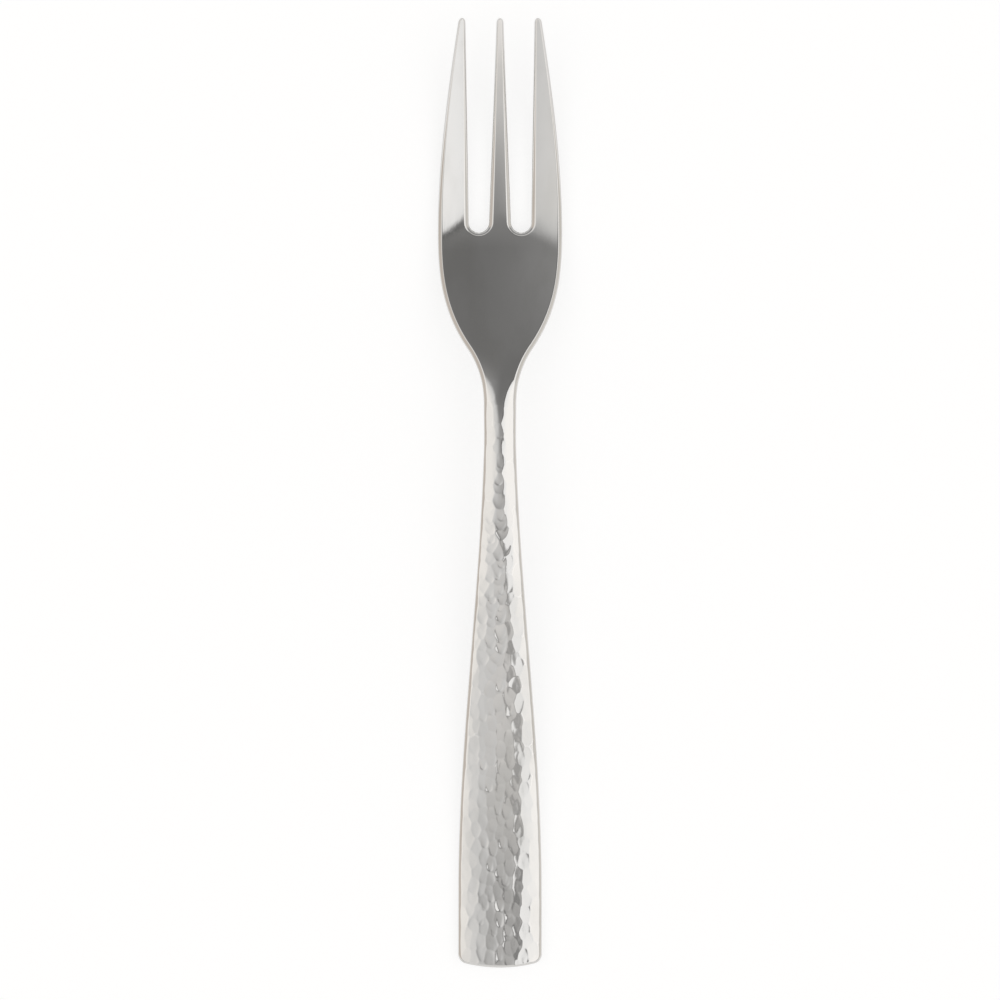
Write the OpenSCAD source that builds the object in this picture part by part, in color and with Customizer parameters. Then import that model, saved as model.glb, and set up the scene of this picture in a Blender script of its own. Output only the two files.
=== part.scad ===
// Cocktail fork: a small three-tined fork of polished steel with a broad, tapering handle.
// Millimetres. +Y runs from the butt of the handle to the tine tips, +Z is up, and the fork lies
// on the plane z = 0 with its tines curving up. The origin is under the middle of its length.
// The real fork is one forging, so each node is a stretch of it that meets its neighbours face to face.

/* [Lengths] */
// Broad butt of the handle, of even width, which lies flat
butt_length = 12; // [8:0.5:20]
// Handle from the butt to the slender neck
taper_length = 70; // [50:1:90]
// Slender neck, of even width
neck_length = 7; // [4:0.5:14]
// Hollow curve from the neck out to the shoulders
flare_length = 9.2; // [7:0.1:14]
// Palm from the shoulders to the tine roots
palm_length = 18.55; // [14:0.05:26]
// Tines from their roots to the tips
tine_length = 33.25; // [24:0.25:44]

/* [Widths] */
// Handle at the butt
butt_width = 13.26; // [10:0.02:17]
// Neck
neck_width = 5.08; // [4:0.02:7]
// Narrowing of each side where the taper meets the neck, in millimetres for each millimetre of length
neck_taper = 0.03; // [0:0.01:0.06]
// Shoulders, where the hollow curve turns into the round of the palm
shoulder_width = 10.4; // [8:0.1:12]
// Widening of each side at the shoulders, in millimetres for each millimetre of length
shoulder_flare = 0.68; // [0.5:0.01:0.9]
// Head at the tine roots, where it is widest
head_width = 19.7; // [17:0.1:24]
// Head over the three tine tips
tip_span = 12.9; // [11.5:0.1:16]
// Narrowing of each side at the tine tips, in millimetres for each millimetre of length
tip_taper = 0.17; // [0.1:0.01:0.25]
// Middle tine at its root
middle_tine_width = 3.6; // [2.8:0.1:4.6]
// Middle tine at its tip
middle_tip_width = 1.04; // [0.8:0.02:1.5]
// Slot between two tines at the roots
slot_width = 3.17; // [2.2:0.01:4]
// Slot between two tines at the tips
slot_mouth = 4.92; // [4:0.02:5.2]

/* [Thickness] */
// Butt of the handle, at its middle
butt_thickness = 2.2; // [1.6:0.1:3]
// Neck, at its middle
neck_thickness = 3.2; // [2.4:0.1:4]
// Palm at the tine roots
palm_thickness = 1.9; // [1.4:0.1:2.6]
// Tine tips
tip_thickness = 1.2; // [0.9:0.1:1.6]
// Fall of the butt's front from its middle to its edges
butt_crown = 0.45; // [0.2:0.05:0.7]
// Fall of the front from its middle to its edges, halfway along the handle's taper
taper_crown = 0.3; // [0.15:0.05:0.6]
// Fall of the neck's front from its middle to its edges
neck_crown = 0.5; // [0.3:0.05:0.9]
// Fall of the front from its middle to its edges at the shoulders, where the dish of the palm takes over
shoulder_crown = 0.12; // [0:0.02:0.3]
// Power of the butt's fall across its width: 2 falls evenly, and more keeps the middle flatter
butt_crown_power = 3; // [2:0.1:4]
// Power of the neck's fall across its width
neck_crown_power = 2; // [1.6:0.1:3]
// Rise of the handle's back from its middle to its edges
back_crown = 0.25; // [0.1:0.05:0.4]
// Rise of the head's edges above its middle at the tine roots
palm_cup = 0.6; // [0:0.05:0.9]
// Rise of the outer tines' tips above the middle one's
tip_cup = 0.3; // [0:0.05:0.6]

/* [Side view] */
// Depth of the flat ground on the back of the butt, on which the fork rests
rest_depth = 0.15; // [0.1:0.05:0.25]
// Height of the back of the neck above the table
neck_rise = 6.6; // [4:0.1:10]
// Height of the back of the shoulders above the table
shoulder_rise = 4.4; // [3:0.1:6]
// Fall of the back at the shoulders, in millimetres for each millimetre of length
shoulder_fall = 0.28; // [0.2:0.01:0.45]
// Distance from the tine roots to the lowest point of the head
belly_offset = 3.25; // [1:0.25:6]
// Height of the back of the tine tips above the table
tip_rise = 6.6; // [4:0.1:10]
// Rise of the back at the tine tips, in millimetres for each millimetre of length
tip_slope = 0.42; // [0.25:0.01:0.6]

/* [Edges and ends] */
// How far the rounding of an edge reaches in from the outline
edge_round = 0.45; // [0.25:0.05:0.6]
// Radius of the curve across the end of the butt
butt_end_radius = 24; // [14:1:48]
// Radius of the butt's corners
butt_corner = 1.5; // [0.8:0.1:2.5]
// Length of the rounding at a tine tip
tip_round = 0.7; // [0.4:0.1:1]

/* [Hidden] */
steel = [0.78, 0.78, 0.77];

// Stations, measured from the butt
taper_middle_at = butt_length + taper_length / 2;
neck_at = butt_length + taper_length;
flare_at = neck_at + neck_length;
neck_top_at = neck_at + neck_length / 2;
shoulder_at = flare_at + flare_length;
root_at = shoulder_at + palm_length;
belly_at = root_at + belly_offset;
fork_length = root_at + tine_length;

// The butt's corners are tangent to its sides and to the curve across its end
corner_x = butt_width / 2 - butt_corner;
corner_turn = asin(corner_x / (butt_end_radius - butt_corner));
corner_at = butt_end_radius - (butt_end_radius - butt_corner) * cos(corner_turn);

// Radius of a slot's round end
slot_radius = slot_width / 2;
// Share of its full size that a section keeps at the very end of the butt and of a tine, and that
// an edge's rounding has at the very end of a slot
end_share = 0.3;
// Most that an edge's rounding takes of a section's width
edge_limit = 0.45;

// Steps of the mesh: across a broad section and a tine, round an edge and a curve in the outline
broad_steps = 8;
tine_steps = 4;
edge_steps = 6;
arc_steps = 8;
// Longest steps along the fork
handle_step = 2.5;
head_step = 1.3;
tine_step = 2;

function mix(a, b, t) = a + (b - a) * t;
function steps(from, to, longest) =
    let (n = ceil((to - from) / longest))
    [for (i = [0 : n]) mix(from, to, i / n)];

// Curve through rows of [station, value, slope], each stretch of it a cubic
function cubic(a, b, t) =
    let (h = b[0] - a[0])
    (1 - 3 * t * t + 2 * t * t * t) * a[1]
    + (t - 2 * t * t + t * t * t) * h * a[2]
    + (3 * t * t - 2 * t * t * t) * b[1]
    + (t * t * t - t * t) * h * b[2];
function along(rows, s, i = 0) =
    i + 2 < len(rows) && s > rows[i + 1][0]
        ? along(rows, s, i + 1)
        : cubic(rows[i], rows[i + 1], (s - rows[i][0]) / (rows[i + 1][0] - rows[i][0]));

// Share of full size at distance d inside a round end of depth r, and at its very end
function round_end(d, r, end = 0) = d < r ? sqrt(1 - (1 - end * end) * pow(1 - d / r, 2)) : 1;

// Half width of the outline, with a square butt
function half_width(s) = along([
    [0, butt_width / 2, 0],
    [butt_length, butt_width / 2, 0],
    [neck_at, neck_width / 2, -neck_taper],
    [flare_at, neck_width / 2, 0],
    [shoulder_at, shoulder_width / 2, shoulder_flare],
    [root_at, head_width / 2, 0],
    [fork_length, tip_span / 2, -tip_taper],
], s);

// Height of the middle of the back
function rise(s) = along([
    [0, -rest_depth, 0],
    [butt_length, -rest_depth, 0],
    [neck_top_at, neck_rise, 0],
    [shoulder_at, shoulder_rise, -shoulder_fall],
    [belly_at, 0, 0],
    [fork_length, tip_rise, tip_slope],
], s);

// Thickness at the middle
function thickness(s) = along([
    [0, butt_thickness, 0],
    [butt_length, butt_thickness, 0],
    [flare_at, neck_thickness, 0],
    [root_at, palm_thickness, 0],
    [fork_length, tip_thickness, 0],
], s);

// From the middle to the edges: the fall of the front, the rise of the back and the rise of both
function crown(s) = along([
    [0, butt_crown, 0],
    [butt_length, butt_crown, 0],
    [taper_middle_at, taper_crown, 0],
    [neck_at, neck_crown, 0],
    [flare_at, neck_crown, 0],
    [shoulder_at, shoulder_crown, 0],
    [root_at, 0, 0],
    [fork_length, 0, 0],
], s);
function crown_power(s) = along([
    [0, butt_crown_power, 0],
    [butt_length, butt_crown_power, 0],
    [neck_at, neck_crown_power, 0],
    [fork_length, neck_crown_power, 0],
], s);
function back(s) = along([
    [0, back_crown, 0],
    [flare_at, back_crown, 0],
    [root_at, 0, 0],
    [fork_length, 0, 0],
], s);
function cup(s) = along([
    [0, 0, 0],
    [flare_at, 0, 0],
    [root_at, palm_cup, 0],
    [fork_length, tip_cup, 0],
], s);

// Heights of the front and the back
function outward(x, s, power = 2) = pow(abs(x) / half_width(s), power);
function front_z(x, s) =
    rise(s) + thickness(s) + cup(s) * outward(x, s) - crown(s) * outward(x, s, crown_power(s));
function back_z(x, s) = rise(s) + (cup(s) + back(s)) * outward(x, s);

// A point of the section at s, at height 1 on the front, 0 halfway and -1 on the back at surface_x
function section_point(s, x, surface_x, height) =
    let (front = front_z(surface_x, s), behind = back_z(surface_x, s))
    [x, s - fork_length / 2, mix(behind, front, (1 + height) / 2)];

// The section at s from x = a to x = b, along the front and back along the back. Its edges are
// rounded by edge_a and edge_b, and its thickness is drawn in to a share.
function section(s, a, b, edge_a, edge_b, across, share = 1) =
    let (
        limit = edge_limit * (b - a),
        inset_a = min(edge_a, limit),
        inset_b = min(edge_b, limit),
        flat_a = a + inset_a,
        flat_b = b - inset_b,
        turns = [for (i = [1 : edge_steps - 1]) 90 - 180 * i / edge_steps]
    )
    concat(
        [for (i = [0 : across]) let (x = mix(flat_a, flat_b, i / across)) section_point(s, x, x, share)],
        [for (t = turns) section_point(s, flat_b + inset_b * cos(t), flat_b, share * sin(t))],
        [for (i = [0 : across]) let (x = mix(flat_b, flat_a, i / across)) section_point(s, x, x, -share)],
        [for (t = turns) section_point(s, flat_a - inset_a * cos(t), flat_a, -share * sin(t))]
    );

// A solid through sections with the same number of points. Each end is filled with strips from
// the front to the back, between the middles of the two edges.
module loft(sections, across) {
    n = len(sections[0]);
    top = (len(sections) - 1) * n;
    strip_count = across + edge_steps;
    strip = [for (i = [0 : strip_count]) (i - edge_steps / 2 + n) % n];
    below = [for (i = strip) (2 * across + edge_steps - i + n) % n];
    cap = concat(
        [for (i = [0 : strip_count - 2]) [strip[i], strip[i + 1], below[i + 1]]],
        [for (i = [1 : strip_count - 1]) [strip[i], below[i + 1], below[i]]]
    );
    sides = [for (k = [0 : n : top - n], i = [0 : n - 1]) let (j = (i + 1) % n) each [
        [k + i, k + n + i, k + n + j],
        [k + i, k + n + j, k + j],
    ]];
    polyhedron(
        points = [for (ring = sections) each ring],
        faces = concat(sides, cap, [for (f = cap) [top + f[2], top + f[1], top + f[0]]])
    );
}

// A section over the whole width of the fork
function broad_section(s, half, share = 1) =
    section(s, -half, half, edge_round, edge_round, broad_steps, share);
function broad_sections(from, to, longest) =
    [for (s = steps(from, to, longest)) broad_section(s, half_width(s))];

// The butt from its end to the end of its corners, by the turn of the outline there
function butt_section(turn) =
    let (
        on_end = turn < corner_turn,
        s = on_end ? butt_end_radius * (1 - cos(turn)) : corner_at - butt_corner * cos(turn),
        half = on_end ? butt_end_radius * sin(turn) : corner_x + butt_corner * sin(turn)
    )
    broad_section(s, half, round_end(s, edge_round, end_share));

module handle() color(steel) difference() {
    loft(
        concat(
            [for (i = [1 : arc_steps]) butt_section(corner_turn * i / arc_steps)],
            [for (i = [1 : arc_steps - 1]) butt_section(mix(corner_turn, 90, i / arc_steps))],
            broad_sections(corner_at, neck_at, handle_step)
        ),
        broad_steps
    );
    translate([-butt_width, -fork_length, -butt_thickness])
        cube([2 * butt_width, fork_length, butt_thickness]);
}

module neck() color(steel)
    loft(broad_sections(neck_at, shoulder_at, head_step), broad_steps);

module palm() color(steel)
    loft(broad_sections(shoulder_at, root_at, head_step), broad_steps);

// Half of the middle tine and the whole of a slot, before the slot's end is rounded
function along_tine(s) = (s - root_at) / tine_length;
function middle_half(s) = mix(middle_tine_width, middle_tip_width, along_tine(s)) / 2;
function slot(s) = mix(slot_width, slot_mouth, along_tine(s));

// A tine's section: side is 0 for the middle tine and 1 for the outer one on the right
function tine_section(s, side) =
    let (
        fillet = slot_radius * (1 - round_end(s - root_at, slot_radius)),
        slot_edge = edge_round * round_end(s - root_at, slot_radius, end_share),
        outer_edge = side == 0 ? slot_edge : edge_round,
        a = side == 0 ? -middle_half(s) - fillet : middle_half(s) + slot(s) - fillet,
        b = side == 0 ? middle_half(s) + fillet : half_width(s),
        share = round_end(fork_length - s, tip_round, end_share),
        centre = (a + b) / 2,
        half = (b - a) / 2 * share
    )
    section(s, centre - half, centre + half, slot_edge, outer_edge, tine_steps, share);

// Stations along a tine: round the slot's end, up the tine and round the tip
tine_stations = concat(
    [for (i = [0 : arc_steps - 1]) root_at + slot_radius * (1 - cos(90 * i / arc_steps))],
    steps(root_at + slot_radius, fork_length - tip_round, tine_step),
    [for (i = [1 : arc_steps]) fork_length - tip_round * (1 - sin(90 * i / arc_steps))]
);

module tine(side) color(steel)
    loft([for (s = tine_stations) tine_section(s, side)], tine_steps);

module left_tine() mirror([1, 0, 0]) tine(1);
module middle_tine() tine(0);
module right_tine() tine(1);

handle();
neck();
palm();
left_tine();
middle_tine();
right_tine();
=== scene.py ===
"""A cocktail fork of polished steel with a hammered handle, lying on a pale table and seen from above.

The shapes are worked out in millimetres and become metres when a mesh is made. A station is a distance
along the fork from the end of its butt, in the direction of +Y.
"""

import itertools
import math

import bmesh
import bpy
import numpy as np
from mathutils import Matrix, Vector, kdtree
from mathutils.geometry import delaunay_2d_cdt


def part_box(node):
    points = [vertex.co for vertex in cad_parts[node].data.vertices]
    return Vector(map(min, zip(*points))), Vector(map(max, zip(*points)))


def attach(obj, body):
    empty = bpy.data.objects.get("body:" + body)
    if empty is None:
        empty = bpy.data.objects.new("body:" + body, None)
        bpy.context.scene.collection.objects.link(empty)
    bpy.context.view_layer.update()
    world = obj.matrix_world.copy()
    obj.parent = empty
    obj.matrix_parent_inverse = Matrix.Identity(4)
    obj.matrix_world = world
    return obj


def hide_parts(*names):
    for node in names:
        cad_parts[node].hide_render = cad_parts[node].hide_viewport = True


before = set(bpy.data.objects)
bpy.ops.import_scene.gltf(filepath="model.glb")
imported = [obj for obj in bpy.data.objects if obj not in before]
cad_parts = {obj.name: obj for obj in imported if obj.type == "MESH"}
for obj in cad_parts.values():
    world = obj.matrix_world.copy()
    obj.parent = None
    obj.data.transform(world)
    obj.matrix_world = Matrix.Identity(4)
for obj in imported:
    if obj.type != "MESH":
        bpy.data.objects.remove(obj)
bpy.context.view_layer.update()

MM = 0.001
X, Y = 0, 1


def span(node, axis):
    """Where a CAD node begins and ends along an axis, in millimetres."""
    low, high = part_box(node)
    return low[axis] / MM, high[axis] / MM


# Stations, from the CAD nodes. The origin is under the middle of the fork's length.
TIP_Y = span("middle_tine", Y)[1]
FORK_LENGTH = 2 * TIP_Y
NECK_AT = span("neck", Y)[0] + TIP_Y
SHOULDER_AT = span("palm", Y)[0] + TIP_Y
ROOT_AT = span("middle_tine", Y)[0] + TIP_Y
BUTT_LENGTH = 12.0
TAPER_MIDDLE_AT = (BUTT_LENGTH + NECK_AT) / 2
FLARE_AT = NECK_AT + 7.0
NECK_TOP_AT = (NECK_AT + FLARE_AT) / 2
BELLY_AT = ROOT_AT + 3.25

# Widths of the outline, its slopes in millimetres for each millimetre, and the tines
HALF_BUTT = span("handle", X)[1]
HALF_NECK, NECK_TAPER = 2.54, 0.03
HALF_SHOULDER = span("neck", X)[1]
HALF_HEAD = span("palm", X)[1]
HALF_TIPS = 6.45
SHOULDER_FLARE = 0.68
TIP_TAPER = 0.17
MIDDLE_HALF_ROOT, MIDDLE_HALF_TIP = 1.8, 0.52
SLOT_WIDTH, SLOT_MOUTH = 3.17, 4.92
# How far the slots reach into the palm, so that the tines part cleanly at its end
SLOT_OVERCUT = 0.03
TIP_ROUND = 0.7
BUTT_END_RADIUS = 24.0
BUTT_CORNER = 1.5

# Heights: the back above the table, the thickness, and the curve across the fork
REST_DEPTH = 0.15
NECK_RISE, SHOULDER_RISE, SHOULDER_FALL = 6.6, 4.4, 0.28
TIP_RISE, TIP_SLOPE = 6.6, 0.42
BUTT_THICKNESS, NECK_THICKNESS, PALM_THICKNESS, TIP_THICKNESS = 2.2, 3.2, 1.9, 1.2
BUTT_CROWN, TAPER_CROWN, NECK_CROWN, SHOULDER_CROWN = 0.45, 0.3, 0.5, 0.12
BUTT_CROWN_POWER, NECK_CROWN_POWER = 3.0, 2.0
BACK_CROWN = 0.25
PALM_CUP, TIP_CUP = 0.6, 0.3

# The worn bevel of the front and the rounding of the back: reach in from the outline, and depth
EDGE_REACH, TIP_EDGE_REACH, BUTT_EDGE_REACH = 0.6, 0.26, 0.4
BUTT_EDGE_BAND = 0.4, 2.2
BEVEL_DEPTH, ROUND_DEPTH = 0.42, 0.42
# Their profiles: 1 is a straight slope, and 2 is a quarter of an ellipse
BEVEL_POWER, ROUND_POWER = 1.15, 2
BEVEL_STEPS, ROUND_STEPS = 6, 4
# A ring of points just inside the bevel, as a share of its reach, keeps the shading along it even
SUPPORT_REACH = 1.25

# Hammer marks: spacing across and along, how far they wander, depth, tilt, and where they die away. A mark
# is nearly flat inside and hollows out to its rim, where it meets the next.
MARK_ACROSS, MARK_ALONG = 1.36, 2.5
MARK_WANDER = 0.22
# Columns and rows of marks past the sides and the ends of the hammered front, and how many of those rows
# come before the butt
SPARE_COLUMNS, SPARE_ROWS, ROWS_BEFORE = 3, 4, 1
# How many places away a mark can still show, and the depth of a place that has no mark
MARK_REACH, NO_MARK = 2, -1.0
# Later blows that fell between the first ones: share of the places, and how far they wander
LATER_SHARE, LATER_WANDER = 0.4, 0.5
MARK_DEPTH, MARK_DEPTH_SPREAD = 0.030, 0.12
MARK_HOLLOW, MARK_FLATNESS = 0.0074, 0.65
MARK_TILT = 0.016
# Marks on the sides of the handle lean outward, each by its own share of this slope, and wave the bevel
SIDE_TILT, SIDE_ZONE = 0.16, 1.5
# On the upper taper the marks in the middle and on the left are deeper at their near end and lie like
# shingles: slope, where that ends across the width, and stations where it comes and goes
SHINGLE_TILT, SHINGLE_EDGE = 0.036, (0.35, 0.1)
SHINGLE_FROM, SHINGLE_TO = (46.0, 54.0), (80.0, 72.0)
# Some marks along the middle bit in at their near end. For these lips: share of the marks and zone across
# the width, how far they lie from the middle of the mark, half width, depth, how far their ends bend back,
# length, and how much of the length is the steep wall
LIP_SHARE, LIP_ZONE = 0.35, (-0.6, 0.3)
LIP_WANDER, LIP_BACKSET = 0.2, (0.3, 0.5)
LIP_HALF_WIDTH = 0.45, 0.75
LIP_DEPTH, LIP_CURVE = (0.010, 0.034), 0.7
LIP_LENGTH = 0.8 * MARK_ALONG
LIP_WALL = 0.14
MARK_FADE_FROM, MARK_FADE_TO = NECK_AT + 1, NECK_AT + 12
MARK_SEED, LATER_SEED, LIP_SEED = 11, 17, 23

# Spacing of the mesh's points on the hammered front, the smooth head, the back and along the outline
HAMMERED_SPACING = 0.13
HEAD_SPACING = 0.4
BACK_SPACING = 1.0
HANDLE_OUTLINE_SPACING = 0.2
HEAD_OUTLINE_SPACING = 0.28


def along(rows, s):
    """The curve through rows of (station, value, slope), each stretch of it a cubic."""
    s = np.asarray(s, float)
    at, value, slope = np.array(rows, float).T
    i = np.clip(np.searchsorted(at, s, side="right") - 1, 0, len(at) - 2)
    h = at[i + 1] - at[i]
    t = (s - at[i]) / h
    rest = 1 - t
    return (
        rest * rest * (1 + 2 * t) * value[i]
        + rest * rest * t * h * slope[i]
        + t * t * (3 - 2 * t) * value[i + 1]
        - t * t * rest * h * slope[i + 1]
    )


def half_width(s):
    return along([
        (0, HALF_BUTT, 0),
        (BUTT_LENGTH, HALF_BUTT, 0),
        (NECK_AT, HALF_NECK, -NECK_TAPER),
        (FLARE_AT, HALF_NECK, 0),
        (SHOULDER_AT, HALF_SHOULDER, SHOULDER_FLARE),
        (ROOT_AT, HALF_HEAD, 0),
        (FORK_LENGTH, HALF_TIPS, -TIP_TAPER),
    ], s)


def rise(s):
    """Height of the middle of the back."""
    return along([
        (0, -REST_DEPTH, 0),
        (BUTT_LENGTH, -REST_DEPTH, 0),
        (NECK_TOP_AT, NECK_RISE, 0),
        (SHOULDER_AT, SHOULDER_RISE, -SHOULDER_FALL),
        (BELLY_AT, 0, 0),
        (FORK_LENGTH, TIP_RISE, TIP_SLOPE),
    ], s)


def thickness(s):
    return along([
        (0, BUTT_THICKNESS, 0),
        (BUTT_LENGTH, BUTT_THICKNESS, 0),
        (FLARE_AT, NECK_THICKNESS, 0),
        (ROOT_AT, PALM_THICKNESS, 0),
        (FORK_LENGTH, TIP_THICKNESS, 0),
    ], s)


def crown(s):
    """Fall of the front from the middle to the edges."""
    return along([
        (0, BUTT_CROWN, 0),
        (BUTT_LENGTH, BUTT_CROWN, 0),
        (TAPER_MIDDLE_AT, TAPER_CROWN, 0),
        (NECK_AT, NECK_CROWN, 0),
        (FLARE_AT, NECK_CROWN, 0),
        (SHOULDER_AT, SHOULDER_CROWN, 0),
        (ROOT_AT, 0, 0),
        (FORK_LENGTH, 0, 0),
    ], s)


def crown_power(s):
    """Power of that fall across the width: more than 2 keeps the middle flatter."""
    return along([
        (0, BUTT_CROWN_POWER, 0),
        (BUTT_LENGTH, BUTT_CROWN_POWER, 0),
        (NECK_AT, NECK_CROWN_POWER, 0),
        (FORK_LENGTH, NECK_CROWN_POWER, 0),
    ], s)


def back_crown(s):
    """Rise of the back from the middle to the edges."""
    return along([(0, BACK_CROWN, 0), (FLARE_AT, BACK_CROWN, 0), (ROOT_AT, 0, 0), (FORK_LENGTH, 0, 0)], s)


def cup(s):
    """Rise of both faces from the middle to the edges."""
    return along([(0, 0, 0), (FLARE_AT, 0, 0), (ROOT_AT, PALM_CUP, 0), (FORK_LENGTH, TIP_CUP, 0)], s)


def smoothstep(low, high, value):
    t = np.clip((value - low) / (high - low), 0, 1)
    return t * t * (3 - 2 * t)


def make_marks(seed, reach, share):
    """Centres, depths and tilts of hammer marks, in staggered columns that cover the front of the handle.
    They wander by up to reach, and a share of them is there."""
    rng = np.random.default_rng(seed)
    columns = 2 * math.ceil(HALF_BUTT / MARK_ACROSS) + SPARE_COLUMNS
    rows = math.ceil(MARK_FADE_TO / MARK_ALONG) + SPARE_ROWS
    column, row = np.meshgrid(np.arange(columns), np.arange(rows), indexing="ij")
    wander = rng.uniform(-reach, reach, (2, columns, rows))
    x = (column - (columns - 1) / 2 + wander[0]) * MARK_ACROSS
    s = (row - ROWS_BEFORE + 0.5 * (column % 2) + wander[1]) * MARK_ALONG
    depth = MARK_DEPTH * (1 + rng.uniform(-MARK_DEPTH_SPREAD, MARK_DEPTH_SPREAD, (columns, rows)))
    tilt = rng.uniform(-MARK_TILT, MARK_TILT, (2, columns, rows))
    inside = half_width(s) - np.abs(x)
    lean = rng.uniform(0, SIDE_TILT, (columns, rows)) * (1 - smoothstep(0, SIDE_ZONE, inside))
    tilt[0] += np.sign(x) * lean
    shingled = smoothstep(*SHINGLE_FROM, s) * smoothstep(*SHINGLE_TO, s)
    tilt[1] -= SHINGLE_TILT * shingled * smoothstep(*SHINGLE_EDGE, x / half_width(s))
    depth[rng.uniform(0, 1, depth.shape) > share] = NO_MARK
    return x, s, depth, tilt


def make_lips(marks):
    """Middle, near end, half width and depth of each lip."""
    rng = np.random.default_rng(LIP_SEED)
    x, s = marks[0].ravel(), marks[1].ravel()
    share = x / half_width(s)
    chosen = (share > LIP_ZONE[0]) & (share < LIP_ZONE[1]) & (rng.uniform(0, 1, x.shape) < LIP_SHARE)
    x, s = x[chosen], s[chosen]
    x = x + rng.uniform(-LIP_WANDER, LIP_WANDER, x.shape) * MARK_ACROSS
    s = s - rng.uniform(*LIP_BACKSET, x.shape) * MARK_ALONG
    return np.column_stack([x, s, rng.uniform(*LIP_HALF_WIDTH, x.shape), rng.uniform(*LIP_DEPTH, x.shape)])


FIRST_MARKS = make_marks(MARK_SEED, MARK_WANDER, share=1.0)
LATER_MARKS = make_marks(LATER_SEED, LATER_WANDER, LATER_SHARE)
LIPS = make_lips(FIRST_MARKS)


def dent(x, s):
    """Depth of the hammered surface below the smooth one. Each mark is a shallow bowl, and where bowls meet
    the lower one shows, so the ridges between them are crisp."""
    columns, rows = FIRST_MARKS[0].shape
    column = np.rint(x / MARK_ACROSS + (columns - 1) / 2).astype(int)
    row = np.rint(s / MARK_ALONG + ROWS_BEFORE).astype(int)
    depth = np.zeros_like(x)
    steps = range(-MARK_REACH, MARK_REACH + 1)
    for marks, i, j in itertools.product((FIRST_MARKS, LATER_MARKS), steps, steps):
        c = np.clip(column + i, 0, columns - 1)
        r = np.clip(row + j, 0, rows - 1)
        mark_x, mark_s, mark_depth, mark_tilt = marks
        across, lengthwise = x - mark_x[c, r], s - mark_s[c, r]
        square = (2 * across / MARK_ACROSS) ** 2 + (2 * lengthwise / MARK_ALONG) ** 2
        hollow = MARK_HOLLOW * square * (1 - MARK_FLATNESS + MARK_FLATNESS * square)
        tilt = mark_tilt[0, c, r] * across + mark_tilt[1, c, r] * lengthwise
        depth = np.maximum(depth, mark_depth[c, r] - hollow + tilt)
    for lip_x, lip_s, half, lip_depth in LIPS:
        square = ((x - lip_x) / half) ** 2
        lengthwise = (s - lip_s - LIP_CURVE * half * square) / LIP_LENGTH
        wall = smoothstep(0, LIP_WALL, lengthwise) * smoothstep(1, LIP_WALL, lengthwise)
        depth += lip_depth * wall * np.clip(1 - square, 0, 1)
    return depth * (1 - smoothstep(MARK_FADE_FROM, MARK_FADE_TO, s))


def outward(x, s, power=2):
    return (np.abs(x) / half_width(s)) ** power


def front_z(x, s):
    return rise(s) + thickness(s) + cup(s) * outward(x, s) - crown(s) * outward(x, s, crown_power(s))


def back_z(x, s):
    return rise(s) + (cup(s) + back_crown(s)) * outward(x, s)


def middle_half(s):
    return np.interp(s, [ROOT_AT, FORK_LENGTH], [MIDDLE_HALF_ROOT, MIDDLE_HALF_TIP])


def slot_width(s):
    return np.interp(s, [ROOT_AT, FORK_LENGTH], [SLOT_WIDTH, SLOT_MOUTH])


def fine_outline():
    """The outline as closely spaced points (x, station), anticlockwise from the middle of the butt."""
    step = 0.02

    def turns(first, last, radius):
        length = math.radians(abs(last - first)) * radius
        return np.radians(np.linspace(first, last, math.ceil(length / step)))

    def stations(first, last):
        return np.linspace(first, last, math.ceil(abs(last - first) / step))

    corner_x = HALF_BUTT - BUTT_CORNER
    corner_turn = math.degrees(math.asin(corner_x / (BUTT_END_RADIUS - BUTT_CORNER)))
    corner_at = BUTT_END_RADIUS - (BUTT_END_RADIUS - BUTT_CORNER) * math.cos(math.radians(corner_turn))
    slot_radius = SLOT_WIDTH / 2
    slot_end_at = ROOT_AT - SLOT_OVERCUT

    t = turns(0, corner_turn, BUTT_END_RADIUS)
    butt_end = (BUTT_END_RADIUS * np.sin(t), BUTT_END_RADIUS * (1 - np.cos(t)))
    t = turns(corner_turn, 90, BUTT_CORNER)
    butt_corner = (corner_x + BUTT_CORNER * np.sin(t), corner_at - BUTT_CORNER * np.cos(t))
    s = stations(corner_at, FORK_LENGTH - TIP_ROUND)
    side = (half_width(s), s)
    t = turns(0, 180, TIP_ROUND)
    s = FORK_LENGTH - TIP_ROUND * (1 - np.sin(t))
    inner, outer = middle_half(s) + slot_width(s), half_width(s)
    outer_tip = ((inner + outer) / 2 + (outer - inner) / 2 * np.cos(t), s)
    s = stations(FORK_LENGTH - TIP_ROUND, slot_end_at + slot_radius)
    slot_outside = (middle_half(s) + slot_width(s), s)
    t = turns(0, 180, slot_radius)
    s = slot_end_at + slot_radius * (1 - np.sin(t))
    slot_end = (middle_half(s) + slot_width(s) / 2 * (1 + np.cos(t)), s)
    s = stations(slot_end_at + slot_radius, FORK_LENGTH - TIP_ROUND)
    slot_inside = (middle_half(s), s)
    t = turns(0, 90, TIP_ROUND)
    s = FORK_LENGTH - TIP_ROUND * (1 - np.sin(t))
    middle_tip = (middle_half(s) * np.cos(t), s)

    stretches = [butt_end, butt_corner, side, outer_tip, slot_outside, slot_end, slot_inside, middle_tip]
    right = np.hstack([np.array(stretch)[:, :-1] for stretch in stretches]).T
    tip = np.array([[0.0, FORK_LENGTH]])
    left = right[:0:-1] * (-1, 1)
    return np.vstack([right, tip, left])


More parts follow.
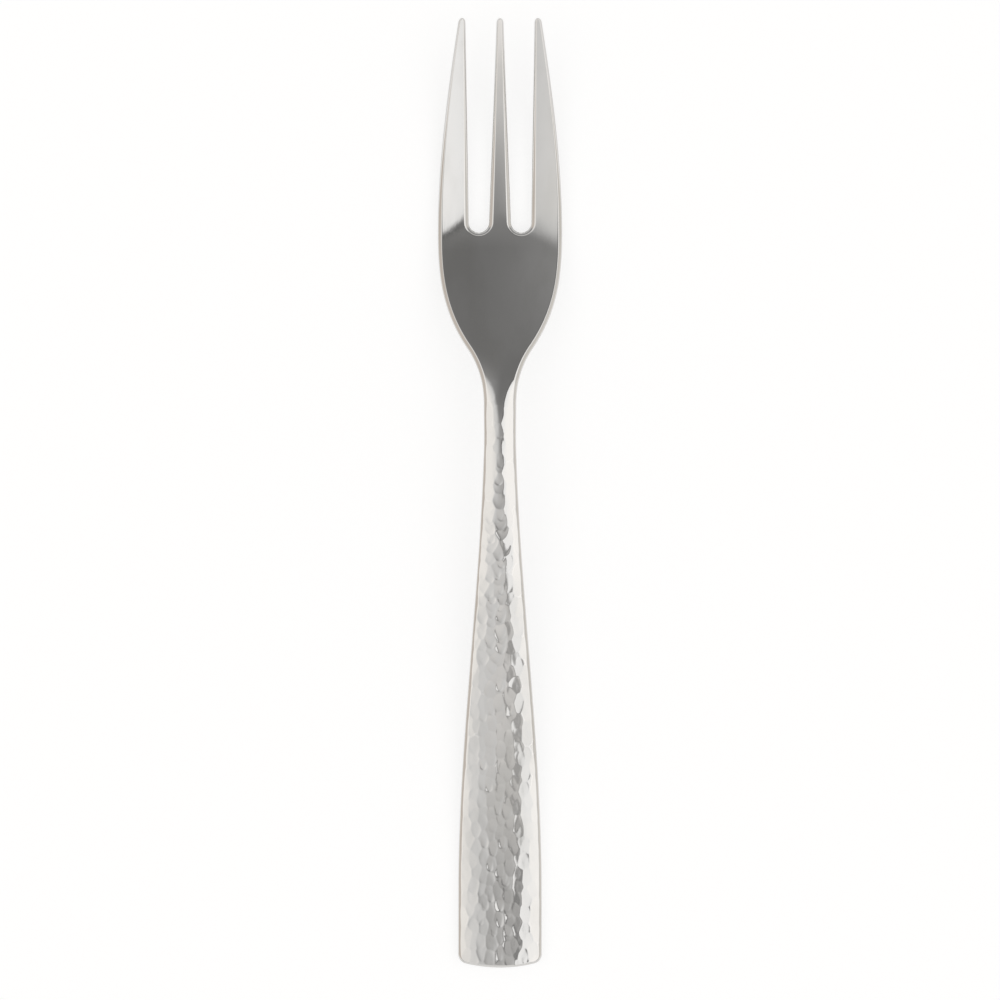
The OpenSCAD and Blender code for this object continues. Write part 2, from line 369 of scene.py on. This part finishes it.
def even_outline():
    """The outline's points at their spacing in the mesh, with the inward normal at each."""
    fine = fine_outline()
    closed = np.vstack([fine, fine[:1]])
    lengths = np.linalg.norm(np.diff(closed, axis=0), axis=1)
    spacing = np.where(fine[:, 1] < SHOULDER_AT, HANDLE_OUTLINE_SPACING, HEAD_OUTLINE_SPACING)
    progress = np.concatenate([[0], np.cumsum(lengths / spacing)])
    count = math.ceil(progress[-1])
    wanted = np.arange(count) * progress[-1] / count
    before = np.roll(fine, 1, axis=0)
    after = np.roll(fine, -1, axis=0)
    tangent = after - before
    normal = np.column_stack([-tangent[:, 1], tangent[:, 0]])
    normal /= np.linalg.norm(normal, axis=1)[:, None]
    normal = np.vstack([normal, normal[:1]])
    points = np.column_stack([np.interp(wanted, progress, closed[:, k]) for k in (X, Y)])
    normals = np.column_stack([np.interp(wanted, progress, normal[:, k]) for k in (X, Y)])
    return points, normals / np.linalg.norm(normals, axis=1)[:, None]


def lattice(first, last, spacing):
    """Points of a triangular lattice over the fork's width, between two stations."""
    rows = np.arange(first, last, spacing * math.sqrt(3) / 2)
    half = math.ceil(HALF_HEAD / spacing)
    columns = np.arange(-half, half + 1)
    shift = np.where(np.arange(len(rows)) % 2, 0.5, 0)[:, None]
    x = (columns[None, :] + shift) * spacing
    s = np.broadcast_to(rows[:, None], x.shape)
    points = np.column_stack([x.ravel(), s.ravel()])
    return points[np.abs(points[:, 0]) < half_width(points[:, 1])]


def fill(loop, lattices):
    """Triangles inside a closed loop of points: all points, the loop's first, and the faces."""
    near = kdtree.KDTree(len(loop))
    for i, (x, s) in enumerate(loop):
        near.insert((x, s, 0), i)
    near.balance()
    clearance = 0.6
    inside = [
        point
        for points, spacing in lattices
        for point in points
        if near.find((*point, 0))[2] > clearance * spacing
    ]
    coords = [Vector(p) for p in loop] + [Vector(p) for p in inside]
    ring = [(i, (i + 1) % len(loop)) for i in range(len(loop))]
    inside_only = 1
    tolerance = 1e-6
    made, _, faces, sources, _, _ = delaunay_2d_cdt(coords, ring, [], inside_only, tolerance)
    used = sorted({i for face in faces for i in face})
    place = {}
    points = [None] * len(loop)
    for i in used:
        source = sources[i][0]
        if source < len(loop):
            place[i] = source
            points[source] = tuple(made[i])
        else:
            place[i] = len(points)
            points.append(tuple(made[i]))
    return np.array(points), [[place[i] for i in face] for face in faces]


def edge_profile(steps, power):
    """Shares of reach and of depth along an edge's rounding, from the face to the side."""
    t = np.linspace(math.pi / 2, 0, steps + 1)
    return 1 - np.abs(np.cos(t)) ** (2 / power), 1 - np.abs(np.sin(t)) ** (2 / power)


def build_shell():
    """The whole fork as one closed bmesh, in millimetres, with each vertex's dent depth in a layer."""
    outline, normals = even_outline()
    reaches = [BUTT_EDGE_REACH, EDGE_REACH, EDGE_REACH, TIP_EDGE_REACH]
    reach = np.interp(outline[:, 1], [*BUTT_EDGE_BAND, ROOT_AT, FORK_LENGTH], reaches)[:, None]
    inner = outline + normals * reach
    edge_front = front_z(*inner.T)
    edge_back = back_z(*inner.T)

    rings = []
    bevel = [(SUPPORT_REACH, 0), *zip(*edge_profile(BEVEL_STEPS, BEVEL_POWER))]
    for inset, fall in bevel:
        x, s = (outline + normals * reach * inset).T
        z = front_z(x, s) - dent(x, s)
        if inset <= 1:
            z = np.minimum(edge_front - BEVEL_DEPTH * fall, z)
        rings.append(np.column_stack([x, s, z, dent(x, s)]))
    back_round = [(SUPPORT_REACH, 0), *zip(*edge_profile(ROUND_STEPS, ROUND_POWER))]
    for inset, fall in reversed(back_round):
        x, s = (outline + normals * reach * inset).T
        z = back_z(x, s)
        if inset <= 1:
            z = np.maximum(edge_back + ROUND_DEPTH * fall, z)
        rings.append(np.column_stack([x, s, np.maximum(z, 0), np.zeros_like(x)]))

    hammered = lattice(0, MARK_FADE_TO, HAMMERED_SPACING)
    head = lattice(MARK_FADE_TO, FORK_LENGTH, HEAD_SPACING)
    loop = rings[0][:, :2]
    front_points, front_faces = fill(loop, [(hammered, HAMMERED_SPACING), (head, HEAD_SPACING)])
    back_points, back_faces = fill(loop, [(lattice(0, FORK_LENGTH, BACK_SPACING), BACK_SPACING)])

    count = len(outline)
    x, s = front_points[count:].T
    front_inside = np.column_stack([x, s, front_z(x, s) - dent(x, s), dent(x, s)])
    x, s = back_points[count:].T
    back_inside = np.column_stack([x, s, np.maximum(back_z(x, s), 0), np.zeros_like(x)])
    # The rings come first, then the points inside the front and the back. In the faces from fill() the
    # points inside follow a single ring.
    vertices = np.vstack(rings + [front_inside, back_inside])
    last_ring = count * (len(rings) - 1)
    front_shift = last_ring
    back_shift = last_ring + len(front_inside)

    bm = bmesh.new()
    layer = bm.verts.layers.float.new("dent")
    verts = []
    for x, s, z, depth in vertices:
        vert = bm.verts.new((x, s - TIP_Y, z))
        vert[layer] = depth / MARK_DEPTH
        verts.append(vert)
    for face in front_faces:
        bm.faces.new([verts[i if i < count else i + front_shift] for i in face])
    for face in back_faces:
        bm.faces.new([verts[i + last_ring if i < count else i + back_shift] for i in reversed(face)])
    for ring in range(len(rings) - 1):
        for i in range(count):
            j = (i + 1) % count
            a, b = ring * count, (ring + 1) * count
            bm.faces.new([verts[k] for k in (a + j, a + i, b + i, b + j)])
    bmesh.ops.recalc_face_normals(bm, faces=bm.faces)
    return bm


def cut_shell(bm):
    """Cuts the shell where the CAD nodes meet, and names the node of each face."""
    snap = 1e-4
    for station in (NECK_AT, SHOULDER_AT, ROOT_AT):
        bmesh.ops.bisect_plane(
            bm,
            geom=bm.verts[:] + bm.edges[:] + bm.faces[:],
            dist=snap,
            plane_co=(0, station - TIP_Y, 0),
            plane_no=(0, 1, 0),
        )
    bm.normal_update()
    bm.verts.index_update()
    names = []
    for face in bm.faces:
        centre = face.calc_center_median()
        s = centre.y + TIP_Y
        if s < NECK_AT:
            names.append("handle")
        elif s < SHOULDER_AT:
            names.append("neck")
        elif s < ROOT_AT:
            names.append("palm")
        elif abs(centre.x) < middle_half(s) + slot_width(s) / 2:
            names.append("middle_tine")
        else:
            names.append("left_tine" if centre.x < 0 else "right_tine")
    bm.faces.index_update()
    return names


def end_loops(bm, names):
    """For each pair of nodes that meet, the closed loops of vertices between them, as the first node's
    faces run along them."""
    steps = {}
    for edge in bm.edges:
        first, second = edge.link_faces
        pair = names[first.index], names[second.index]
        if pair[0] == pair[1]:
            continue
        if pair[0] > pair[1]:
            first, pair = second, pair[::-1]
        for loop in first.loops:
            if loop.edge == edge:
                start, end = loop.vert.index, loop.link_loop_next.vert.index
                steps.setdefault(pair, {})[start] = end
    loops = {}
    for pair, following in steps.items():
        while following:
            start, here = following.popitem()
            loop = [start]
            while here != start:
                loop.append(here)
                here = following.pop(here)
            loops.setdefault(pair, []).append(loop)
    return loops


def make_pieces():
    """A closed mesh object for each CAD node, shaded as one surface across the cuts."""
    bm = build_shell()
    names = cut_shell(bm)
    faces = {}
    for face, name in zip(bm.faces, names):
        faces.setdefault(name, []).append([v.index for v in face.verts])
    for (first, second), loops in end_loops(bm, names).items():
        for loop in loops:
            faces[first].append(loop[::-1])
            faces[second].append(loop)
    layer = bm.verts.layers.float["dent"]
    places = np.array([v.co for v in bm.verts])
    normals = np.array([v.normal for v in bm.verts])
    dents = np.array([v[layer] for v in bm.verts])
    bm.free()
    pieces = {}
    for name, node_faces in faces.items():
        used = np.unique([i for face in node_faces for i in face])
        place = {int(old): new for new, old in enumerate(used)}
        mesh = bpy.data.meshes.new(f"{name}_steel")
        mesh.from_pydata(places[used] * MM, [], [[place[i] for i in face] for face in node_faces])
        mesh.polygons.foreach_set("use_smooth", np.ones(len(mesh.polygons), bool))
        depths = mesh.attributes.new("dent", "FLOAT", "POINT").data
        depths.foreach_set("value", dents[used].astype(np.float32))
        mesh.normals_split_custom_set_from_vertices(normals[used].tolist())
        piece = bpy.data.objects.new(f"{name}_steel", mesh)
        bpy.context.scene.collection.objects.link(piece)
        pieces[name] = piece
    return pieces


# The sockets of a mix node that take two colours, and the one that gives their mix
FIRST_COLOUR, SECOND_COLOUR, MIXED_COLOUR = 6, 7, 2


class Nodes:
    """Short ways to add and link nodes in one node tree."""

    def __init__(self, tree):
        self.tree = tree
        tree.nodes.clear()

    def add(self, kind, inputs=None, **settings):
        made = self.tree.nodes.new(kind)
        for name, value in settings.items():
            setattr(made, name, value)
        for name, value in (inputs or {}).items():
            self.put(made.inputs[name], value)
        return made

    def put(self, socket, value):
        if isinstance(value, bpy.types.NodeSocket):
            self.tree.links.new(value, socket)
        else:
            socket.default_value = value

    def math(self, operation, first, second=0.0):
        made = self.add("ShaderNodeMath", operation=operation)
        self.put(made.inputs[0], first)
        self.put(made.inputs[1], second)
        return made.outputs[0]

    def map(self, value, low, high, to_low=0.0, to_high=1.0, shape="SMOOTHSTEP"):
        ends = {"Value": value, "From Min": low, "From Max": high, "To Min": to_low, "To Max": to_high}
        made = self.add("ShaderNodeMapRange", ends, interpolation_type=shape)
        return made.outputs["Result"]

    def mix(self, share, first, second):
        made = self.add("ShaderNodeMix", data_type="RGBA")
        self.put(made.inputs["Factor"], share)
        self.put(made.inputs[FIRST_COLOUR], first)
        self.put(made.inputs[SECOND_COLOUR], second)
        return made.outputs[MIXED_COLOUR]

    def noise(self, place, size, detail=2.0):
        """Noise whose grain has these sizes along X, Y and Z, in metres."""
        scaled = self.add("ShaderNodeMapping", {"Vector": place, "Scale": [1 / grain for grain in size]})
        made = self.add("ShaderNodeTexNoise", {"Vector": scaled.outputs[0], "Scale": 1.0, "Detail": detail})
        return made.outputs["Fac"]


def grey(value):
    return value, value, value, 1


STEEL_CLEAR = (0.80, 0.79, 0.775, 1)
STEEL_DULL = (0.73, 0.72, 0.70, 1)
STEEL_WORN = (0.825, 0.815, 0.80, 1)
# Grains of the steel's noises along X, Y and Z in metres, and the levels between which they come in
PATCH_GRAIN, PATCH_DETAIL, PATCH_BAND = (0.006, 0.014, 0.006), 3, (0.4, 0.75)
HAIRLINE_GRAIN, HAIRLINE_BAND = (0.00012, 0.005, 0.00012), (0.55, 0.8)
RIPPLE_GRAIN = 0.0006, 0.0009, 0.0006
# Depths, as shares of a mark's depth: where the rubbing of the ridges ends, and where the hammering starts
RIDGE_BAND, HAMMERED_BAND = (0.1, 0.45), (0.0, 0.05)
# Roughness of the clean steel, and what the patches and the hairlines add to it
STEEL_ROUGHNESS, PATCH_ROUGHNESS, HAIRLINE_ROUGHNESS = 0.055, 0.03, 0.035
# Heights of the ripples and of the hairlines, in metres, and how strongly the hairlines show
RIPPLE_HEIGHT, HAIRLINE_HEIGHT, HAIRLINE_STRENGTH = 0.0000012, 0.000002, 0.15


def steel(name):
    """Polished stainless steel: faint cloudy patches from handling, hairlines along the fork, and the
    hammer marks' ridges rubbed a little brighter than their bottoms."""
    material = bpy.data.materials.new(name)
    material.use_nodes = True
    nodes = Nodes(material.node_tree)
    place = nodes.add("ShaderNodeTexCoord").outputs["Object"]
    patches = nodes.noise(place, PATCH_GRAIN, PATCH_DETAIL)
    hairlines = nodes.noise(place, HAIRLINE_GRAIN)
    ripples = nodes.noise(place, RIPPLE_GRAIN)
    dents = nodes.add("ShaderNodeAttribute", attribute_name="dent").outputs["Fac"]
    cloudy = nodes.map(patches, *PATCH_BAND)
    scratched = nodes.map(hairlines, *HAIRLINE_BAND)
    ridges = nodes.map(dents, *RIDGE_BAND, 1.0, 0.0)
    hammered = nodes.map(dents, *HAMMERED_BAND)
    colour = nodes.mix(cloudy, STEEL_CLEAR, STEEL_DULL)
    colour = nodes.mix(nodes.math("MULTIPLY", ridges, hammered), colour, STEEL_WORN)
    roughness = nodes.math("ADD", nodes.math("MULTIPLY", cloudy, PATCH_ROUGHNESS), STEEL_ROUGHNESS)
    roughness = nodes.math("ADD", roughness, nodes.math("MULTIPLY", scratched, HAIRLINE_ROUGHNESS))
    bump = nodes.add("ShaderNodeBump", {"Strength": 1.0, "Distance": RIPPLE_HEIGHT, "Height": ripples})
    bump = nodes.add("ShaderNodeBump", {
        "Strength": HAIRLINE_STRENGTH,
        "Distance": HAIRLINE_HEIGHT,
        "Height": hairlines,
        "Normal": bump.outputs["Normal"],
    })
    shader = nodes.add("ShaderNodeBsdfPrincipled", {
        "Base Color": colour,
        "Metallic": 1.0,
        "Roughness": roughness,
        "Normal": bump.outputs["Normal"],
    })
    nodes.add("ShaderNodeOutputMaterial", {"Surface": shader.outputs["BSDF"]})
    return material


def dress(pieces):
    hammered = steel("hammered_steel")
    polished = steel("polished_steel")
    for node, piece in pieces.items():
        on_handle = node == "handle"
        piece.data.materials.append(hammered if on_handle else polished)
        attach(piece, "root")
        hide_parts(node)


# Half the side of the floor, and how far it lies below the fork, in metres
FLOOR_HALF = 3.0
FLOOR_DROP = 0.00003
FLOOR_PAPER = grey(0.93)
# Plain white that the camera sees on the floor, and the paper under it that keeps the shadow. The same for
# what the steel mirrors.
SEEN_WHITE, SEEN_PAPER = 0.72, grey(0.36)
MIRRORED_WHITE, MIRRORED_PAPER = 0.35, grey(0.60)


def make_floor():
    mesh = bpy.data.meshes.new("floor")
    signs = [(-1, -1), (1, -1), (1, 1), (-1, 1)]
    corners = [(x * FLOOR_HALF, y * FLOOR_HALF, -FLOOR_DROP) for x, y in signs]
    mesh.from_pydata(corners, [], [(0, 1, 2, 3)])
    floor = bpy.data.objects.new("floor", mesh)
    bpy.context.scene.collection.objects.link(floor)
    material = bpy.data.materials.new("pale_table")
    material.use_nodes = True
    nodes = Nodes(material.node_tree)
    path = nodes.add("ShaderNodeLightPath").outputs
    seen = path["Is Camera Ray"]
    mirrored = nodes.math("ADD", path["Is Glossy Ray"], path["Is Transmission Ray"])
    colour = nodes.mix(mirrored, FLOOR_PAPER, MIRRORED_PAPER)
    colour = nodes.mix(seen, colour, SEEN_PAPER)
    white = nodes.math("MULTIPLY", mirrored, MIRRORED_WHITE)
    white = nodes.math("ADD", white, nodes.math("MULTIPLY", seen, SEEN_WHITE))
    paper = nodes.add("ShaderNodeBsdfDiffuse", {"Color": colour})
    glow = nodes.add("ShaderNodeEmission", {"Color": grey(1.0), "Strength": white})
    both = nodes.add("ShaderNodeAddShader", {0: paper.outputs[0], 1: glow.outputs[0]})
    nodes.add("ShaderNodeOutputMaterial", {"Surface": both.outputs[0]})
    mesh.materials.append(material)


# The studio, by the direction that light comes from: a white tent that opens onto a darker ceiling, shaded
# from the handle's end to the tines, with a white screen whose edge is a little right of overhead
CEILING = [
    (-0.6, 0.95),
    (-0.3, 0.64),
    (-0.12, 0.455),
    (-0.03, 0.38),
    (0.05, 0.33),
    (0.2, 0.24),
    (0.4, 0.185),
    (1.0, 0.185),
]
CEILING_WARMTH = 0.025
TENT_WHITE, TENT_LOW, TENT_BAND = (1.12, 1.10, 1.075, 1), grey(0.42), (0.3, 0.68)
TENT_RIM = 0.58, 0.72
SCREEN_NEAR, SCREEN_FAR = grey(0.99), (1.13, 1.11, 1.085, 1)
SCREEN_EDGE, SCREEN_FADE = (0.095, 0.115), (0.1, 0.35)
# The ceiling darkens just before the screen, and goes over to grey and then white on the left
SHADE, SHADE_BAND = 0.5, (0.045, 0.09)
LEFT_GREY, LEFT_WHITE = grey(0.68), (1.0, 0.975, 0.94, 1)
LEFT_WASH, LEFT_FADE = (-0.13, 0.02), (-0.42, -0.04)
# The ceiling widens towards the tines' end, and is paler there on the left
CEILING_SPREAD, SPREAD_BAND = 0.28, (0.05, 0.6)
CEILING_PALE, PALE_SHARE, PALE_BAND = grey(0.42), 0.6, (-0.28, 0.06)
# Beyond the floor a low white backdrop stands all round, as warm as the floor looks
BACKDROP, BACKDROP_EDGE = (0.999, 0.996, 0.988, 1), (0.11, 0.15)
# Above it there is a brown card on each side, higher on the left, and a grey one beyond each end
BROWN_LEFT, BROWN_RIGHT, BROWN_BAND = (0.625, 0.57, 0.52, 1), (0.72, 0.69, 0.65, 1), (0.2, 0.4)
LIFT_LEFT, LIFT_RIGHT = 0.25, 0.12
GREY_BAND = 0.3, 0.62
# The grey ones are shaded from foot to top, so that the hammer marks show in them
TINE_FOOT, TINE_TOP, TINE_BAND = grey(0.6), grey(0.2), (0.14, 0.42)
BUTT_FOOT, BUTT_TOP, BUTT_BAND = grey(0.22), grey(0.78), (0.12, 0.44)
# Where the grey cards give way to the brown ones, and where a card gives way to its opposite
CARD_TURN, CARD_MIDDLE = (0.74, 0.9), (-0.3, 0.3)


def make_studio():
    world = bpy.data.worlds.new("studio")
    bpy.context.scene.world = world
    world.use_nodes = True
    nodes = Nodes(world.node_tree)
    direction = nodes.add("ShaderNodeTexCoord").outputs["Generated"]
    across, lengthwise, up = nodes.add("ShaderNodeSeparateXYZ", {0: direction}).outputs
    # The ramp runs from 0 to 1, and the parts of a direction run from -1 to 1
    ramp = nodes.add("ShaderNodeValToRGB", {0: nodes.map(lengthwise, -1, 1, shape="LINEAR")})
    stops = ramp.color_ramp.elements
    while len(stops) < len(CEILING):
        stops.new(1.0)
    for stop, (at, value) in zip(stops, CEILING):
        stop.position = (at + 1) / 2
        green = value * (1 - CEILING_WARMTH * value)
        blue = value * (1 - 2 * CEILING_WARMTH * value)
        stop.color = value, green, blue, 1
    beyond = nodes.map(lengthwise, *SPREAD_BAND)
    spread = nodes.math("MULTIPLY", beyond, CEILING_SPREAD)
    leftward = nodes.math("ADD", across, spread)
    rightward = nodes.math("SUBTRACT", across, spread)
    shade = nodes.map(rightward, *SHADE_BAND, 1.0, SHADE)
    colour = nodes.add("ShaderNodeVectorMath", {0: ramp.outputs["Color"]}, operation="SCALE")
    nodes.put(colour.inputs["Scale"], shade)
    pale = nodes.math("MULTIPLY", beyond, nodes.map(across, *PALE_BAND, PALE_SHARE, 0.0))
    colour = nodes.mix(pale, colour.outputs[0], CEILING_PALE)
    left = nodes.mix(nodes.map(leftward, *LEFT_FADE), LEFT_WHITE, LEFT_GREY)
    colour = nodes.mix(nodes.map(leftward, *LEFT_WASH), left, colour)
    screen = nodes.mix(nodes.map(rightward, *SCREEN_FADE), SCREEN_NEAR, SCREEN_FAR)
    colour = nodes.mix(nodes.map(rightward, *SCREEN_EDGE), colour, screen)
    tent = nodes.mix(nodes.map(up, *TENT_BAND), TENT_LOW, TENT_WHITE)
    colour = nodes.mix(nodes.map(up, *TENT_RIM), tent, colour)
    rightness = nodes.map(across, *CARD_MIDDLE)
    level = nodes.math("SUBTRACT", up, nodes.map(rightness, 0.0, 1.0, LIFT_LEFT, LIFT_RIGHT))
    brown = nodes.mix(rightness, BROWN_LEFT, BROWN_RIGHT)
    brown = nodes.mix(nodes.map(level, *BROWN_BAND), brown, colour)
    butt_card = nodes.mix(nodes.map(up, *BUTT_BAND), BUTT_FOOT, BUTT_TOP)
    tine_card = nodes.mix(nodes.map(up, *TINE_BAND), TINE_FOOT, TINE_TOP)
    greys = nodes.mix(nodes.map(lengthwise, *CARD_MIDDLE), butt_card, tine_card)
    greys = nodes.mix(nodes.map(up, *GREY_BAND), greys, colour)
    level_length = nodes.math("SQRT", nodes.math("SUBTRACT", 1.0, nodes.math("MULTIPLY", up, up)))
    turn = nodes.math("DIVIDE", nodes.math("ABSOLUTE", across), level_length)
    colour = nodes.mix(nodes.map(turn, *CARD_TURN), greys, brown)
    colour = nodes.mix(nodes.map(up, *BACKDROP_EDGE), BACKDROP, colour)
    light = nodes.add("ShaderNodeBackground", {"Color": colour, "Strength": 1.0})
    nodes.add("ShaderNodeOutputWorld", {"Surface": light.outputs[0]})


# The picture is 1000 pixels high, and the fork reaches from near its top to near its bottom
PICTURE_HEIGHT = 1000
FORK_TOP_PIXEL, FORK_BOTTOM_PIXEL = 18, 967
LENS, SENSOR = 120.0, 36.0
# Heights of the outline at the tine tips and at the butt, in millimetres
TIP_HEIGHT, BUTT_HEIGHT = 7.2, 1.0


def make_camera():
    data = bpy.data.cameras.new("camera")
    data.lens = LENS
    data.sensor_width = SENSOR
    camera = bpy.data.objects.new("camera", data)
    bpy.context.scene.collection.objects.link(camera)
    pixels = PICTURE_HEIGHT * LENS / SENSOR
    above = PICTURE_HEIGHT / 2 - FORK_TOP_PIXEL
    below = FORK_BOTTOM_PIXEL - PICTURE_HEIGHT / 2
    distance = (FORK_LENGTH * pixels + above * TIP_HEIGHT + below * BUTT_HEIGHT) / (above + below)
    aim = below * (distance - BUTT_HEIGHT) / pixels - TIP_Y
    camera.location = (0, aim * MM, distance * MM)
    bpy.context.scene.camera = camera


dress(make_pieces())
make_floor()
make_studio()
make_camera()
bpy.context.scene.view_settings.view_transform = "Standard"
